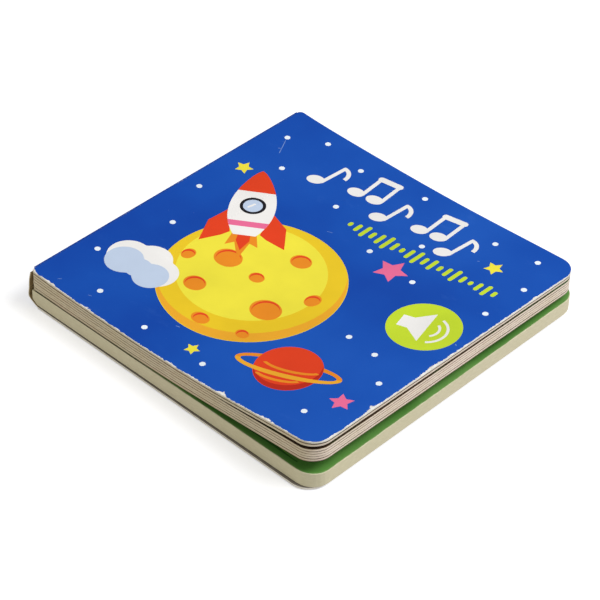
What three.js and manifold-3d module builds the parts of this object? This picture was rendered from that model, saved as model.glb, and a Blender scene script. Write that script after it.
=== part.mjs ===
// Sound book: a square board book with a sound module in its thick back part.
// Millimetres, +Z up. The book lies on its back cover with the spine towards -X and the tail towards -Y.
import * as THREE from 'three';
import { mergeVertices } from 'three/addons/utils/BufferGeometryUtils.js';
import Module from 'manifold-3d';

const wasm = await Module();
wasm.setup();

// Leaves
const leafLength = 165;        // spine edge to fore-edge
const leafHeight = 165;        // tail to head
const cornerRadius = 9;        // fore-edge corners of every board
const leafCount = 6;           // inner leaves, bound into one block
const leafThickness = 1.3;
const coverThickness = 1.2;
const leafLine = 0.22;         // open line between two neighbouring leaf edges
const leafLineDepth = 0.6;
const wideGapLeaf = 5;         // the leaf above the widest gap, counted from the lowest leaf
const wideGap = 1.4;           // how far that gap stands open at the tail corner
const wideGapDepth = 7.5;
const cornerPullX = 0.6;       // how far the head corner of the leaves stands in from the fore-edge
const cornerPullY = 0.5;       // and from the head

// Warp of the leaves
const bendStart = 80;          // distance from the spine where the leaves begin to lift
const bendWidth = 12;          // softness of that bend
const tailLiftSlope = 0.078;   // rise per millimetre past the bend
const headLiftSlope = 0.036;
const fanOpening = 0.1;        // the spread of all leaves at the fore-edge
const fanStart = 95;
const headFanShare = 0.6;      // share of the spread that is left at the head
const spineSwell = 1.2;        // extra height of the stack where it is bound
const swellReach = 14;

// Thick back part
const backBoardThickness = 1.1;
const backBoardForeInset = 1.3;
const backBoardHeadInset = 1.0;
const tailOverhangAtSpine = 0.4;
const tailOverhangAtFore = 1.2;
const coreHeight = 6.66;
const coreSpineInset = 0.3;
const coreChamferWidth = 2.8;
const coreChamferHeight = 2.0;
const lastPageThickness = 0.4;

// Spine
const wrapThickness = 0.5;
const wrapLean = 2.3;          // how far the wrap stands out from the leaves at its widest
const wrapWidestHeight = 4.2;
const wrapFoldOut = 1.8;       // the same at the fold between block and pages
const wrapTopOut = 0.5;
const wrapFootReach = 3.6;
const coverSpineReach = 0.2;   // the cover board reaches this far past the leaves
const coverSpineBevel = 1.6;

// Gaps between pieces
const seat = 0.3;              // glued or touching pieces
const fit = 0.1;               // flat pieces stacked inside the module

// Sound module
const moduleLength = 90;
const moduleWidth = 52;
const moduleSpineDistance = 24;
const moduleWall = 1.0;
const moduleFloor = 0.8;
const moduleHeight = 5.4;
const moduleCorner = 2.5;
const lidThickness = 0.6;
const cavityClearance = 0.4;

const speakerRadius = 14;
const speakerFromSpineWall = 20;
const speakerLip = 1.4;
const speakerDepth = 2.4;
const magnetRadius = 6.5;
const magnetHeight = 1.6;
const grilleHoleRadius = 1.2;
const grilleRingRadius = 6;
const grilleRingHoles = 8;

const boardLength = 20;
const boardWidth = 36;
const boardThickness = 0.8;
const boardFromSpineWall = 37;
const boardPostHeight = 2.5;
const boardPostRadius = 1.5;
const blobRadius = 4.5;
const blobHeight = 1.1;

const cellCount = 3;
const cellRadius = 5.8;
const cellHeight = 5.4;
const cellGap = 0.4;
const cellFromForeWall = 16;
const bayWall = 0.8;
const doorThickness = 0.85;
const doorRecess = 0.15;
const doorSideLap = 1.3;       // how far the door laps the battery bay on each side
const doorScrewTab = 5.0;      // length of the door's screw end past the bay
const rimWall = 1.0;
const contactThickness = 0.2;
const contactWidth = 5;
const screwHeadRadius = 1.7;
const screwHeadHeight = 0.6;
const screwRadius = 0.9;
const screwLength = 4.2;
const screwBossRadius = 2.0;

const wireRadius = 0.45;
const wireSpacing = 3.2;

const switchRadius = 11;
const switchFromSpine = 144.5; // the press spot lies under the printed disc of the cover
const switchFromMiddle = 5;    // and a little to the head of the middle
const switchThickness = 0.2;
const switchTailWidth = 6;

// Heights worked out from the sizes above
const coreBottom = backBoardThickness + seat;
const coreTop = coreBottom + coreHeight;
const blockTop = coreTop + lastPageThickness;
const stackBottom = blockTop + seat;
const pagesHeight = leafCount * leafThickness;
const stackHeight = pagesHeight + seat + coverThickness;

const moduleBottom = backBoardThickness + seat;
const moduleFloorTop = moduleBottom + moduleFloor;
const moduleTop = moduleBottom + moduleHeight;
const lidBottom = moduleTop + seat;
const lidTop = lidBottom + lidThickness;
const doorTop = doorRecess + doorThickness;
const cellBottom = doorTop + 2 * fit + contactThickness;
const cellTop = cellBottom + cellHeight;
const boardBottom = moduleFloorTop + boardPostHeight + fit;
const boardTop = boardBottom + boardThickness;

// Places in the plane of the book
const moduleTail = (leafHeight - moduleWidth) / 2;
const speakerX = moduleSpineDistance + speakerFromSpineWall;
const speakerY = leafHeight / 2;
const boardX = moduleSpineDistance + boardFromSpineWall;
const boardY = (leafHeight - boardWidth) / 2;
const cellX = moduleSpineDistance + moduleLength - cellFromForeWall;
const cellPitch = 2 * cellRadius + cellGap;
const bayHalfWidth = cellRadius + cellGap;
const bayLength = cellCount * cellPitch + cellGap;
const doorLength = doorSideLap + bayLength + doorScrewTab;
const bayTail = moduleTail + (moduleWidth - doorLength) / 2 + doorSideLap;
const bayHead = bayTail + bayLength;
const screwY = bayHead + doorScrewTab / 2;
const switchY = leafHeight / 2 + switchFromMiddle;

// Solids

function toSolid(geometry) {
  const bare = geometry.clone();
  bare.deleteAttribute('normal');
  bare.deleteAttribute('uv');
  const merged = mergeVertices(bare, 1e-4);
  const index = merged.index.array;
  const triangles = [];
  for (let i = 0; i < index.length; i += 3) {
    const [a, b, c] = [index[i], index[i + 1], index[i + 2]];
    if (a !== b && b !== c && c !== a) triangles.push(a, b, c);
  }
  return new wasm.Manifold(new wasm.Mesh({
    numProp: 3,
    vertProperties: new Float32Array(merged.attributes.position.array),
    triVerts: new Uint32Array(triangles),
  }));
}

function toGeometry(solid) {
  const mesh = solid.getMesh();
  const geometry = new THREE.BufferGeometry();
  geometry.setAttribute('position', new THREE.BufferAttribute(new Float32Array(mesh.vertProperties), 3));
  geometry.setIndex(new THREE.BufferAttribute(new Uint32Array(mesh.triVerts), 1));
  return geometry;
}

function plate(shape, bottom, top, curveSegments = 8) {
  const geometry = new THREE.ExtrudeGeometry(shape, { depth: top - bottom, bevelEnabled: false, curveSegments });
  return geometry.translate(0, 0, bottom);
}

function rectangle(x0, y0, x1, y1, radius = 0) {
  const shape = new THREE.Shape();
  if (radius === 0) {
    shape.moveTo(x0, y0).lineTo(x1, y0).lineTo(x1, y1).lineTo(x0, y1).closePath();
    return shape;
  }
  shape.moveTo(x0 + radius, y0).lineTo(x1 - radius, y0);
  shape.absarc(x1 - radius, y0 + radius, radius, -Math.PI / 2, 0);
  shape.lineTo(x1, y1 - radius);
  shape.absarc(x1 - radius, y1 - radius, radius, 0, Math.PI / 2);
  shape.lineTo(x0 + radius, y1);
  shape.absarc(x0 + radius, y1 - radius, radius, Math.PI / 2, Math.PI);
  shape.lineTo(x0, y0 + radius);
  shape.absarc(x0 + radius, y0 + radius, radius, Math.PI, 1.5 * Math.PI);
  return shape;
}

function box(x0, y0, x1, y1, bottom, top, radius = 0) {
  return toSolid(plate(rectangle(x0, y0, x1, y1, radius), bottom, top, 4));
}

function disc(x, y, radius, bottom, top, sides = 32) {
  const geometry = new THREE.CylinderGeometry(radius, radius, top - bottom, sides);
  geometry.rotateX(Math.PI / 2).translate(x, y, (bottom + top) / 2);
  return toSolid(geometry);
}

// A turned piece: the profile holds [radius, height] pairs, anticlockwise round the section.
function turned(x, y, profile, sides = 32) {
  const points = profile.map(([radius, height]) => new THREE.Vector2(radius, height));
  const geometry = new THREE.LatheGeometry(points, sides);
  return toSolid(geometry.rotateX(Math.PI / 2).translate(x, y, 0));
}

// Warped board stacks

function smoothRise(x, start, end) {
  return THREE.MathUtils.smoothstep(x, start, end);
}

function lift(x, y) {
  const slope = THREE.MathUtils.lerp(tailLiftSlope, headLiftSlope, y / leafHeight);
  return slope * bendWidth * Math.log(1 + Math.exp((x - bendStart) / bendWidth));
}

function foreOpening(x, y) {
  return smoothRise(x, fanStart, leafLength) * THREE.MathUtils.lerp(1, headFanShare, y / leafHeight);
}

// Height of the warped stack at a level that lies `level` above its underside when pressed flat.
function stackZ(x, y, level, aboveWideGap) {
  const spread = spineSwell * Math.exp(-x / swellReach) + fanOpening * foreOpening(x, y);
  const gap = aboveWideGap ? wideGap * foreOpening(x, y) : 0;
  return stackBottom + lift(x, y) + level * (1 + spread / stackHeight) + gap;
}

const straightSteps = 16;
const cornerSteps = 7;
const stations = straightSteps + cornerSteps;
const heightSteps = 12;

// One station along the outline, from the spine to the fore-edge, for an outline set in by `inset`.
function station(i, spineX, foreX, inset) {
  const cornerX = foreX - cornerRadius;
  if (i <= straightSteps) return { x: THREE.MathUtils.lerp(spineX, cornerX, i / straightSteps), side: inset };
  const angle = (Math.PI / 2) * (i - straightSteps) / cornerSteps;
  const radius = cornerRadius - inset;
  return { x: cornerX + radius * Math.sin(angle), side: cornerRadius - radius * Math.cos(angle) };
}

// A board or stack of boards between two gridded faces. Each ring is one level of its edge, from the
// underside up: how far it is set in, how far its spine edge starts from zero, and its height.
function boardStack(rings) {
  const perimeter = 2 * stations + 2 * heightSteps;
  const positions = [];
  const index = [];

  function place(ring, i, j) {
    const inset = ring.inset(station(i, ring.spineX, leafLength, 0).x);
    const { x, side } = station(i, ring.spineX, leafLength, inset);
    const y = THREE.MathUtils.lerp(side, leafHeight - side, j / heightSteps);
    const pull = ring.pulled ? (x / leafLength) * (y / leafHeight) : 0;
    positions.push(x - cornerPullX * pull, y - cornerPullY * pull, ring.z(x, y));
  }

  function edgeCell(p) {
    if (p <= stations) return [p, 0];
    if (p <= stations + heightSteps) return [stations, p - stations];
    if (p <= 2 * stations + heightSteps) return [2 * stations + heightSteps - p, heightSteps];
    return [0, perimeter - p];
  }

  for (const ring of rings) {
    for (let p = 0; p < perimeter; p++) place(ring, ...edgeCell(p));
  }
  for (let k = 0; k + 1 < rings.length; k++) {
    for (let p = 0; p < perimeter; p++) {
      const next = (p + 1) % perimeter;
      const [a, b] = [k * perimeter + p, k * perimeter + next];
      const [c, d] = [b + perimeter, a + perimeter];
      index.push(a, b, c, a, c, d);
    }
  }

  function edgeIndex(i, j) {
    if (j === 0) return i;
    if (i === stations) return stations + j;
    if (j === heightSteps) return 2 * stations + heightSteps - i;
    return perimeter - j;
  }

  function face(ringNumber, pointsUp) {
    const inner = positions.length / 3;
    for (let i = 1; i < stations; i++) {
      for (let j = 1; j < heightSteps; j++) place(rings[ringNumber], i, j);
    }
    const at = (i, j) => {
      const onEdge = i === 0 || i === stations || j === 0 || j === heightSteps;
      if (onEdge) return ringNumber * perimeter + edgeIndex(i, j);
      return inner + (i - 1) * (heightSteps - 1) + (j - 1);
    };
    for (let i = 0; i < stations; i++) {
      for (let j = 0; j < heightSteps; j++) {
        const [a, b, c, d] = [at(i, j), at(i + 1, j), at(i + 1, j + 1), at(i, j + 1)];
        if (pointsUp) index.push(a, b, c, a, c, d);
        else index.push(a, c, b, a, d, c);
      }
    }
  }
  face(0, false);
  face(rings.length - 1, true);

  const geometry = new THREE.BufferGeometry();
  geometry.setAttribute('position', new THREE.Float32BufferAttribute(positions, 3));
  geometry.setIndex(index);
  return geometry;
}

function pageBlock() {
  const ring = (inset, z) => ({ spineX: 0, inset, z, pulled: true });
  const flush = () => 0;
  const rings = [];
  for (let leaf = 0; leaf < leafCount; leaf++) {
    const above = leaf >= wideGapLeaf;
    const bottomLevel = leaf * leafThickness;
    const topLevel = bottomLevel + leafThickness;
    const bottomLine = leaf > 0 ? leafLine / 2 : 0;
    const topLine = leaf < leafCount - 1 ? leafLine / 2 : 0;
    rings.push(ring(flush, (x, y) => stackZ(x, y, bottomLevel, above) + bottomLine));
    rings.push(ring(flush, (x, y) => stackZ(x, y, topLevel, above) - topLine));
    if (leaf < leafCount - 1) {
      const wide = leaf + 1 === wideGapLeaf;
      const depth = (x) => leafLineDepth + (wide ? wideGapDepth * smoothRise(x, fanStart, leafLength) : 0);
      const middle = (x, y) => stackZ(x, y, topLevel, above) + (wide ? wideGap * foreOpening(x, y) / 2 : 0);
      rings.push(ring(depth, middle));
    }
  }
  return boardStack(rings);
}

function frontCover() {
  const bottomLevel = pagesHeight + seat;
  const edgeRound = 0.2;
  const ring = (spineX, inset, level) => ({
    spineX,
    inset: () => inset,
    z: (x, y) => stackZ(x, y, level, true),
    pulled: true,
  });
  return boardStack([
    ring(-coverSpineReach, 0, bottomLevel),
    ring(coverSpineBevel / 2 - coverSpineReach, 0, stackHeight - edgeRound),
    ring(coverSpineBevel - coverSpineReach, edgeRound, stackHeight),
  ]);
}

// Thick back part

function blockFrame() {
  const ring = (spineX, height) => ({ spineX, inset: () => 0, z: () => height, pulled: false });
  const blank = toSolid(boardStack([
    ring(coreSpineInset + coreChamferWidth, coreBottom),
    ring(coreSpineInset, coreBottom + coreChamferHeight),
    ring(coreSpineInset, coreTop),
  ]));
  const cavity = box(
    moduleSpineDistance - cavityClearance, moduleTail - cavityClearance,
    moduleSpineDistance + moduleLength + cavityClearance, moduleTail + moduleWidth + cavityClearance,
    0, coreTop + 1, moduleCorner + cavityClearance,
  );
  const recessBottom = coreTop - 2 * switchThickness - fit;
  const spot = disc(switchFromSpine, switchY, switchRadius + cavityClearance, recessBottom, coreTop + 1);
  const halfTail = switchTailWidth / 2 + cavityClearance;
  const groove = box(
    moduleSpineDistance + moduleLength - 1, switchY - halfTail,
    switchFromSpine, switchY + halfTail, recessBottom, coreTop + 1,
  );
  return toGeometry(blank.subtract(cavity).subtract(spot).subtract(groove));
}

function lastPage() {
  const ring = (height) => ({ spineX: coreSpineInset, inset: () => 0, z: () => height, pulled: false });
  return boardStack([ring(coreTop), ring(blockTop)]);
}

function backCover() {
  const foreX = leafLength - backBoardForeInset;
  const headY = leafHeight - backBoardHeadInset;
  const spineX = wrapFootReach + seat;
  const shape = new THREE.Shape();
  shape.moveTo(spineX, -tailOverhangAtSpine);
  shape.lineTo(foreX - cornerRadius, -tailOverhangAtFore);
  shape.absarc(foreX - cornerRadius, cornerRadius - tailOverhangAtFore, cornerRadius, -Math.PI / 2, 0);
  shape.lineTo(foreX, headY - cornerRadius);
  shape.absarc(foreX - cornerRadius, headY - cornerRadius, cornerRadius, 0, Math.PI / 2);
  shape.lineTo(spineX, headY).closePath();
  const rimHalf = bayHalfWidth + doorSideLap + fit + rimWall + seat;
  const window = rectangle(
    cellX - rimHalf, bayTail - doorSideLap - fit - rimWall - seat,
    cellX + rimHalf, bayHead + doorScrewTab + fit + rimWall + seat, 1,
  );
  shape.holes.push(window);
  grillePlaces().forEach(([x, y]) => {
    shape.holes.push(new THREE.Path().absarc(x, y, grilleHoleRadius, 0, 2 * Math.PI));
  });
  return plate(shape, 0, backBoardThickness, 6);
}

function grillePlaces() {
  const places = [[speakerX, speakerY]];
  for (let k = 0; k < grilleRingHoles; k++) {
    const angle = (2 * Math.PI * k) / grilleRingHoles;
    places.push([speakerX + grilleRingRadius * Math.cos(angle), speakerY + grilleRingRadius * Math.sin(angle)]);
  }
  return places;
}

// Spine wrap: a sheet of even thickness along an outer path of [x, z] points, as long as the leaves are high.
function sheetAlong(path) {
  const curve = new THREE.SplineCurve(path.map(([x, z]) => new THREE.Vector2(x, z)));
  const outer = [];
  const inner = [];
  const steps = 6 * (path.length - 1);
  for (let k = 0; k <= steps; k++) {
    const point = curve.getPoint(k / steps);
    const tangent = curve.getTangent(k / steps);
    outer.push(point);
    inner.push(new THREE.Vector2(point.x + tangent.y * wrapThickness, point.y - tangent.x * wrapThickness));
  }
  const shape = new THREE.Shape([...outer, ...inner.reverse()]);
  const geometry = new THREE.ExtrudeGeometry(shape, { depth: leafHeight, bevelEnabled: false });
  return geometry.rotateX(Math.PI / 2).translate(0, leafHeight, 0);
}

function lowerWrap() {
  return sheetAlong([
    [wrapFootReach, 0],
    [wrapFootReach - 2.4, 1.1],
    [-wrapLean + 1.0, wrapWidestHeight - 1.6],
    [-wrapLean, wrapWidestHeight],
    [-wrapFoldOut, blockTop],
  ]);
}

function upperWrap() {
  const top = stackZ(0, 0, pagesHeight, true) - seat;
  const bottom = stackBottom;
  return sheetAlong([
    [-wrapFoldOut, bottom],
    [-(wrapFoldOut + wrapTopOut) / 2 - 0.25, (bottom + top) / 2],
    [-wrapTopOut, top],
  ]);
}

// Sound module

function moduleCase() {
  const [x0, y0] = [moduleSpineDistance, moduleTail];
  const [x1, y1] = [x0 + moduleLength, y0 + moduleWidth];
  let shell = box(x0, y0, x1, y1, moduleBottom, moduleTop, moduleCorner);
  const inner = moduleCorner - moduleWall;
  shell = shell.subtract(box(
    x0 + moduleWall, y0 + moduleWall, x1 - moduleWall, y1 - moduleWall, moduleFloorTop, moduleTop + 1, inner,
  ));
  const doorHalf = bayHalfWidth + doorSideLap + fit;
  const doorTail = bayTail - doorSideLap - fit;
  const doorHead = bayHead + doorScrewTab + fit;
  const rim = box(
    cellX - doorHalf - rimWall, doorTail - rimWall, cellX + doorHalf + rimWall, doorHead + rimWall,
    doorRecess, moduleFloorTop, 1,
  );
  const doorRoom = box(cellX - doorHalf, doorTail, cellX + doorHalf, doorHead, 0, moduleBottom);
  shell = shell.add(rim).subtract(doorRoom);
  const bayOuter = box(
    cellX - bayHalfWidth - bayWall, bayTail - bayWall, cellX + bayHalfWidth + bayWall, bayHead + bayWall,
    moduleBottom, moduleTop,
  );
  const bayInner = box(cellX - bayHalfWidth, bayTail, cellX + bayHalfWidth, bayHead, 0, moduleTop + 1);
  const boss = disc(cellX, screwY, screwBossRadius, moduleBottom, moduleTop - 1, 24);
  const bossHole = disc(cellX, screwY, screwRadius + fit, 0, moduleTop + 1, 16);
  shell = shell.add(bayOuter).add(boss).subtract(bayInner).subtract(bossHole);
  for (const [x, y] of boardPostPlaces()) {
    shell = shell.add(disc(x, y, boardPostRadius, moduleBottom, moduleFloorTop + boardPostHeight, 12));
  }
  for (const [x, y] of grillePlaces()) {
    shell = shell.subtract(disc(x, y, grilleHoleRadius, 0, moduleFloorTop + 1, 12));
  }
  return toGeometry(shell);
}

function boardPostPlaces() {
  const inset = boardPostRadius + 1;
  const places = [];
  for (const x of [boardX + inset, boardX + boardLength - inset]) {
    for (const y of [boardY + inset, boardY + boardWidth - inset]) places.push([x, y]);
  }
  return places;
}

function moduleLid() {
  const lid = box(
    moduleSpineDistance, moduleTail, moduleSpineDistance + moduleLength, moduleTail + moduleWidth,
    lidBottom, lidTop, moduleCorner,
  );
  const slotX = boardX + boardLength;
  const half = switchTailWidth / 2 + seat;
  const slot = box(slotX - 5, switchY - half, slotX + 2, switchY + half, 0, lidTop + 1);
  return toGeometry(lid.subtract(slot));
}

function batteryDoor() {
  const door = box(
    cellX - bayHalfWidth - doorSideLap, bayTail - doorSideLap,
    cellX + bayHalfWidth + doorSideLap, bayHead + doorScrewTab, doorRecess, doorTop, 0.8,
  );
  const hole = disc(cellX, screwY, screwRadius + fit, 0, doorTop + 1, 16);
  const headRoom = disc(cellX, screwY, screwHeadRadius + fit, 0, doorRecess + screwHeadHeight + fit, 24);
  return toGeometry(door.subtract(hole).subtract(headRoom));
}

function batteryScrew() {
  const headTop = doorRecess + screwHeadHeight;
  const bottom = doorRecess;
  const screw = turned(cellX, screwY, [
    [0, bottom], [screwHeadRadius, bottom], [screwHeadRadius, headTop],
    [screwRadius, headTop], [screwRadius, bottom + screwLength - 0.6], [0, bottom + screwLength],
  ], 24);
  const slotHalf = 0.2;
  const reach = screwHeadRadius * 0.7;
  const slot = box(cellX - reach, screwY - slotHalf, cellX + reach, screwY + slotHalf, 0, bottom + 0.3);
  const crossSlot = box(cellX - slotHalf, screwY - reach, cellX + slotHalf, screwY + reach, 0, bottom + 0.3);
  return toGeometry(screw.subtract(slot).subtract(crossSlot));
}

function cellPlace(k) {
  return bayTail + cellGap + cellRadius + k * cellPitch;
}

function buttonCell(k) {
  const stepRadius = cellRadius - 1.0;
  const stepHeight = 0.5;
  const facesUp = k % 2 === 0;
  const profile = facesUp
    ? [[0, cellBottom], [cellRadius, cellBottom], [cellRadius, cellTop - stepHeight],
       [stepRadius, cellTop - stepHeight], [stepRadius, cellTop], [0, cellTop]]
    : [[0, cellBottom], [stepRadius, cellBottom], [stepRadius, cellBottom + stepHeight],
       [cellRadius, cellBottom + stepHeight], [cellRadius, cellTop], [0, cellTop]];
  return toGeometry(turned(cellX, cellPlace(k), profile, 28));
}

// A flat contact strip over the cells numbered first to last.
function contactStrip(first, last, bottom) {
  return toGeometry(box(
    cellX - contactWidth / 2, cellPlace(first) - contactWidth / 2,
    cellX + contactWidth / 2, cellPlace(last) + contactWidth / 2, bottom, bottom + contactThickness,
  ));
}

function circuitBoard() {
  return toGeometry(box(
    boardX, boardY, boardX + boardLength, boardY + boardWidth, boardBottom, boardTop,
  ));
}

function chipBlob() {
  const bottom = boardTop + fit;
  const profile = [[0, bottom], [blobRadius, bottom]];
  const steps = 5;
  for (let k = 1; k < steps; k++) {
    const angle = (Math.PI / 2) * (k / steps);
    profile.push([blobRadius * Math.cos(angle), bottom + blobHeight * Math.sin(angle)]);
  }
  profile.push([0, bottom + blobHeight]);
  return toGeometry(turned(boardX + boardLength / 2, boardY + boardWidth / 3, profile, 24));
}

function speakerFrame() {
  const bottom = moduleFloorTop + fit;
  const sheet = 0.6;
  const top = bottom + speakerDepth;
  const coneRoom = speakerRadius - speakerLip;
  const neck = magnetRadius - 1;
  const shoulder = bottom + speakerDepth / 2;
  return toGeometry(turned(speakerX, speakerY, [
    [coneRoom, bottom], [speakerRadius, bottom], [speakerRadius, bottom + sheet],
    [coneRoom + sheet, bottom + sheet], [coneRoom + sheet, shoulder], [magnetRadius + 1, top],
    [neck, top], [neck, top - sheet], [magnetRadius + 0.8, top - sheet],
    [coneRoom, shoulder - sheet / 2], [coneRoom, bottom],
  ], 40));
}

function speakerCone() {
  const bottom = moduleFloorTop + fit;
  const sheet = 0.25;
  const rim = speakerRadius - speakerLip - seat;
  const cap = 4;
  const crown = bottom + speakerDepth * 0.45;
  return toGeometry(turned(speakerX, speakerY, [
    [0, crown + 0.5], [cap * 0.6, crown + 0.35], [cap, crown], [rim - 1, bottom + 0.1], [rim, bottom + 0.1],
    [rim, bottom + 0.1 + sheet], [rim - 1, bottom + 0.1 + sheet], [cap, crown + sheet],
    [cap * 0.6, crown + 0.35 + sheet], [0, crown + 0.5 + sheet],
  ], 32));
}

function speakerMagnet() {
  const bottom = moduleFloorTop + fit + speakerDepth + fit;
  const lip = 0.5;
  return toGeometry(turned(speakerX, speakerY, [
    [0, bottom], [magnetRadius, bottom], [magnetRadius, bottom + magnetHeight - lip],
    [magnetRadius - lip, bottom + magnetHeight], [0, bottom + magnetHeight],
  ], 32));
}

// A wire from a pad on the circuit board down to the rim of the loudspeaker.
function speakerWire(side) {
  const y = speakerY + side * wireSpacing / 2;
  const boardZ = boardTop + wireRadius + fit;
  const rimX = speakerX + speakerRadius - speakerLip / 2;
  const rimZ = moduleFloorTop + fit + 0.6 + wireRadius + fit;
  const route = new THREE.CatmullRomCurve3([
    new THREE.Vector3(boardX + 3.5, y, boardZ),
    new THREE.Vector3(boardX - 0.4, y, boardZ),
    new THREE.Vector3((boardX + rimX) / 2 - 0.4, y + side * 1.2, (boardZ + rimZ) / 2),
    new THREE.Vector3(rimX + 0.8, y + side * 2, rimZ + 0.1),
    new THREE.Vector3(rimX - 0.5, y + side * 2.4, rimZ),
  ]);
  const section = new THREE.Shape();
  section.absarc(0, 0, wireRadius, 0, 2 * Math.PI);
  return new THREE.ExtrudeGeometry(section, { extrudePath: route, steps: 14, curveSegments: 4 });
}

// The press spot: a film switch with a flat tail that dips through the lid to the circuit board.
function filmSwitch() {
  const bottom = coreTop - switchThickness - fit;
  const top = bottom + switchThickness;
  const half = switchTailWidth / 2;
  const slotX = boardX + boardLength;
  const landing = boardTop + fit;
  const spot = disc(switchFromSpine, switchY, switchRadius, bottom, top, 40);
  const tail = new THREE.Shape();
  tail.moveTo(switchFromSpine - switchRadius / 2, bottom).lineTo(switchFromSpine - switchRadius / 2, top);
  tail.lineTo(slotX - 0.2, top).lineTo(slotX - 3.2, landing + switchThickness);
  tail.lineTo(slotX - 8, landing + switchThickness).lineTo(slotX - 8, landing);
  tail.lineTo(slotX - 3, landing).lineTo(slotX, bottom).closePath();
  const strip = new THREE.ExtrudeGeometry(tail, { depth: switchTailWidth, bevelEnabled: false });
  strip.rotateX(Math.PI / 2).translate(0, switchY + half, 0);
  return toGeometry(spot.add(toSolid(strip)));
}

// Finish of each piece

function finish(color, roughness, metalness = 0) {
  return new THREE.MeshStandardMaterial({ color, roughness, metalness, flatShading: true });
}

const printedCover = finish('#1f4fa8', 0.38);
const boardEdges = finish('#d8d1b8', 0.85);
const printedPage = finish('#4f9440', 0.4);
const greyboard = finish('#d0cba8', 0.88);
const dullPlastic = finish('#2b2c30', 0.55);
const doorPlastic = finish('#e9e7e0', 0.5);
const laminate = finish('#2f7a45', 0.45);
const resin = finish('#101012', 0.35);
const steel = finish('#b9bcc0', 0.32, 1);
const brassy = finish('#c9a85a', 0.35, 1);
const conePaper = finish('#3a3733', 0.8);
const film = finish('#d9d6c6', 0.4);
const redWire = finish('#b02a22', 0.5);
const blackWire = finish('#1a1a1c', 0.5);

const book = new THREE.Group();

function add(name, geometry, material) {
  const mesh = new THREE.Mesh(geometry, material);
  mesh.name = name;
  book.add(mesh);
}

add('front_cover', frontCover(), printedCover);
add('page_block', pageBlock(), boardEdges);
add('spine_wrap_upper', upperWrap(), printedCover);
add('spine_wrap_lower', lowerWrap(), printedCover);
add('last_page', lastPage(), printedPage);
add('block_frame', blockFrame(), greyboard);
add('back_cover', backCover(), printedCover);
add('module_case', moduleCase(), dullPlastic);
add('module_lid', moduleLid(), dullPlastic);
add('battery_door', batteryDoor(), doorPlastic);
add('battery_screw', batteryScrew(), steel);
for (let k = 0; k < cellCount; k++) add(`button_cell_${k + 1}`, buttonCell(k), steel);
add('contact_plus', contactStrip(0, 0, cellTop + fit), brassy);
add('contact_top_bridge', contactStrip(1, 2, cellTop + fit), brassy);
add('contact_door_bridge', contactStrip(0, 1, doorTop + fit), brassy);
add('contact_minus', contactStrip(2, 2, doorTop + fit), brassy);
add('circuit_board', circuitBoard(), laminate);
add('chip_blob', chipBlob(), resin);
add('film_switch', filmSwitch(), film);
add('speaker_frame', speakerFrame(), steel);
add('speaker_cone', speakerCone(), conePaper);
add('speaker_magnet', speakerMagnet(), steel);
add('wire_red', speakerWire(1), redWire);
add('wire_black', speakerWire(-1), blackWire);

// The origin is the middle of the outer box, at the height of the surface that the book lies on.
const outer = new THREE.Box3().setFromObject(book);
book.position.set(-(outer.min.x + outer.max.x) / 2, -(outer.min.y + outer.max.y) / 2, -outer.min.z);

const model = new THREE.Group();
model.add(book);
export default model;
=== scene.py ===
"""Looks of the sound book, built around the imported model.

Lengths are in millimetres in the book's own plane: x from the spine edge of the leaves to the fore-edge,
y from the tail to the head, z up from the table. to_row turns them into metres in the frame of the model.
"""
import math

import bpy
from mathutils import Matrix, Vector, noise
from mathutils.geometry import delaunay_2d_cdt


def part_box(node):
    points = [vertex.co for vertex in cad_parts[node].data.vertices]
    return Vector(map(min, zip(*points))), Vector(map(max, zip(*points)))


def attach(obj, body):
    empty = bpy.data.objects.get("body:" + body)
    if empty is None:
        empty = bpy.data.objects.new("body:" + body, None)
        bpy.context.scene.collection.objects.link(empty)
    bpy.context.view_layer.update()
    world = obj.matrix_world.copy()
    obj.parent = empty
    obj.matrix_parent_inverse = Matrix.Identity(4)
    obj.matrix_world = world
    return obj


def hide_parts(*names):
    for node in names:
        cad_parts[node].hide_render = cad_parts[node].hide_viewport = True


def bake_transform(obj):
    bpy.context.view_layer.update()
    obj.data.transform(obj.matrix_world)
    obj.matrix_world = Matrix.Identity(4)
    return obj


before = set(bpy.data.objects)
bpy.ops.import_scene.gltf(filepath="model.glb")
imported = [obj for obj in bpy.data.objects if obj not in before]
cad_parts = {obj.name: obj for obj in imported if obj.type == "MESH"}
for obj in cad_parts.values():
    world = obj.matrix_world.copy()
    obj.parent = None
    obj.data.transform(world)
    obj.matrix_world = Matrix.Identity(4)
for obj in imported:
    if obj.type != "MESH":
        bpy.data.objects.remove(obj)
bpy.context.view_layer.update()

MM = 0.001

# The book's corner and main heights, read from the model
page_low, page_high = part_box("page_block")
SPINE_X = page_low[0] / MM
TAIL_Y = page_low[1] / MM
STACK_BOTTOM = page_low[2] / MM
BLOCK_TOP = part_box("last_page")[1][2] / MM
LEAF = (page_high[1] - page_low[1]) / MM

# Sizes of the leaves, as the model has them
CORNER = 9.0
SPINE_CORNER = 2.2
LEAVES = 6
LEAF_THICK = 1.3
COVER_THICK = 1.2
COVER_REACH = 0.2
SEAT = 0.3
WIDE_GAP_LEAF = 5
WIDE_GAP = 1.4
WIDE_GAP_DEPTH = 7.5
PAGES = LEAVES * LEAF_THICK
STACK = PAGES + SEAT + COVER_THICK

# How the stack is warped and fanned, as the model has it
PULL_X, PULL_Y = 0.6, 0.5
BEND_START, BEND_WIDTH = 80.0, 12.0
TAIL_SLOPE, HEAD_SLOPE = 0.078, 0.036
FAN, FAN_START, HEAD_FAN = 0.1, 95.0, 0.6
SWELL, SWELL_REACH = 1.2, 14.0

# Painted shade line in the gap above each leaf: its width, its darkness and its depth
LINE_WIDTHS = (0.42, 0.24, 0.24, 0.4, 0.26)
LINE_SHADES = (1.6, 0.9, 0.7, 1.6, 1.2)
LINE_DEPTH = 0.6
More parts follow.
